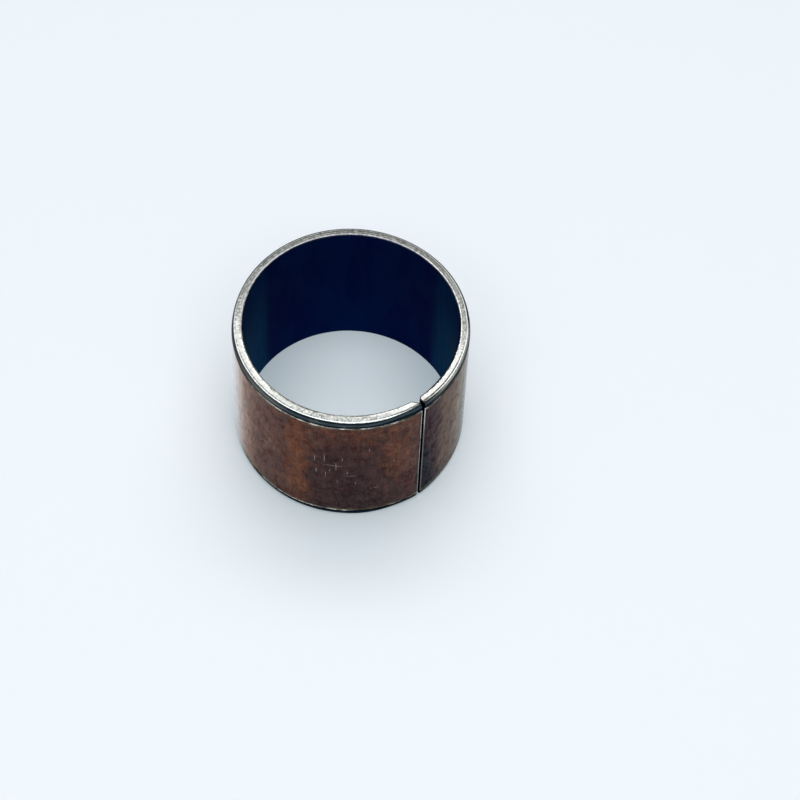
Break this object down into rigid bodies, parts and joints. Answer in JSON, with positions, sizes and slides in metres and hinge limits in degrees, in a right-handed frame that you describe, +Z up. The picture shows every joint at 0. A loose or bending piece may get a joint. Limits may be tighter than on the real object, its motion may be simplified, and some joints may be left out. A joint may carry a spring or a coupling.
{
  "type": "wrapped dry sliding bush",
  "caption": "Plain cylindrical sliding bush rolled from copper-flashed steel strip, with a straight open butt seam, chamfered ends and a dark low-friction lining on porous bronze.",
  "frame": {"origin": "centre of the lower end face, on the bush's axis", "axes": "+Z up along the bush's axis from the lower end face to the upper one, the open butt seam faces -Y, +X to the right of the seam seen from outside"},
  "size_m": [0.055, 0.055, 0.04],
  "materials": {
    "copper_flash": "thin copper plating, tarnished brown with purple and orange blotches, lightly scuffed",
    "backing_steel": "bare low-carbon steel, turned on the end faces and chamfers, sheared at the seam",
    "sintered_bronze": "porous grey-gold sintered tin bronze, matt",
    "sliding_layer": "dark blue-black filled PTFE, smooth with a dull sheen"
  },
  "bodies": {
    "root": {"outer_copper_flash": "copper_flash", "steel_backing": "backing_steel", "bond_copper_flash": "copper_flash", "sintered_bronze_layer": "sintered_bronze", "ptfe_sliding_layer": "sliding_layer"}
  },
  "joints": []
}
